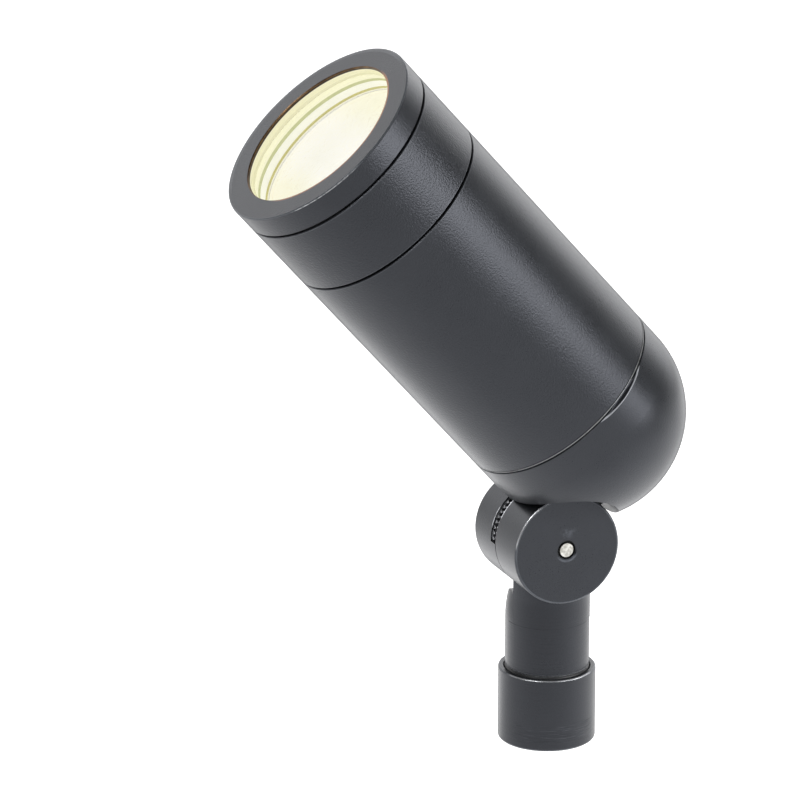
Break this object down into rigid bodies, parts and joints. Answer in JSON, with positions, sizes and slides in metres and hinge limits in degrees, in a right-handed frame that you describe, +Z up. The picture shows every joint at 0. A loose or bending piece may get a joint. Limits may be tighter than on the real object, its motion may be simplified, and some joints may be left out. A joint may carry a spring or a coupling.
{
  "type": "garden spotlight",
  "caption": "Bullet-shaped garden spotlight head with a lamp and lens, on a toothed tilting knuckle, a round stem and a threaded collar.",
  "frame": {"origin": "centre of the collar's threaded socket mouth, at the bottom face", "axes": "+Z up along the stem's axis; the knuckle axis runs along Y with its screw tip towards -Y; the head leans towards -X"},
  "size_m": [0.1287, 0.06, 0.2006],
  "materials": {
    "graphite_coat": "satin",
    "black_rubber": "matte",
    "stainless_steel": "satin",
    "zinc_plate": "satin",
    "clear_glass": "gloss",
    "dark_silicone": "matte",
    "tan_silicone": "matte",
    "white_plastic": "matte",
    "olive_ring": "satin",
    "lamp_metal": "satin",
    "lamp_lens": "satin",
    "reflector": "polished",
    "board_white": "satin",
    "phosphor": "satin",
    "lamp_plastic": "satin",
    "board_green": "satin",
    "component_black": "matte",
    "ceramic": "matte",
    "contact_brass": "satin",
    "lead_sleeve": "matte",
    "connector_plastic": "satin"
  },
  "bodies": {
    "base": {"base_collar": "graphite_coat"},
    "stem": {"stem_knuckle": "graphite_coat", "collar_o_ring": "black_rubber", "stem_wire_grommet": "black_rubber", "knuckle_gasket": "black_rubber"},
    "screw": {"pivot_screw": "stainless_steel", "pivot_washer": "stainless_steel"},
    "head": {"rear_dome": "graphite_coat", "dome_wire_grommet": "black_rubber", "dome_o_ring": "black_rubber", "body_tube": "graphite_coat", "collar_tube_o_ring": "black_rubber", "bracket_screws": "stainless_steel", "socket_bracket": "zinc_plate", "lamp_socket": "ceramic", "socket_contacts": "contact_brass", "socket_screws": "stainless_steel", "socket_leads": "lead_sleeve", "wire_connectors": "connector_plastic", "lamp_pins": "stainless_steel", "lamp_base": "lamp_plastic", "lamp_driver_board": "board_green", "lamp_driver_parts": "component_black", "lamp_heat_sink": "lamp_metal", "lamp_led_board": "board_white", "lamp_led_emitter": "phosphor", "lamp_optic": "reflector", "lamp_front_lens": "lamp_lens"},
    "front_cap": {"front_collar": "graphite_coat", "lens_seat_gasket": "tan_silicone", "lens_glass": "clear_glass", "lens_front_gasket": "dark_silicone", "spacer_ring": "white_plastic", "lamp_retaining_ring": "olive_ring"},
    "bezel": {"bezel_ring": "graphite_coat"}
  },
  "joints": [
    {"name": "stem_pan", "type": "hinge", "parent": "base", "child": "stem", "pos_m": [0, 0, 0.0206], "axis": [0, 0, 1], "range_deg": [-180, 180]},
    {"name": "head_tilt", "type": "hinge", "parent": "stem", "child": "head", "pos_m": [0, 0, 0.0585], "axis": [0, -1, 0], "range_deg": [-60, 80]},
    {"name": "pivot_screw_turn", "type": "hinge", "parent": "stem", "child": "screw", "pos_m": [0, 0, 0.0585], "axis": [0, 1, 0], "continuous": true},
    {"name": "front_collar_turn", "type": "hinge", "parent": "head", "child": "front_cap", "pos_m": [-0.05157, 0, 0.16216], "axis": [-0.6579, 0, 0.7531], "continuous": true},
    {"name": "bezel_turn", "type": "hinge", "parent": "front_cap", "child": "bezel", "pos_m": [-0.06539, 0, 0.17798], "axis": [-0.6579, 0, 0.7531], "continuous": true}
  ]
}
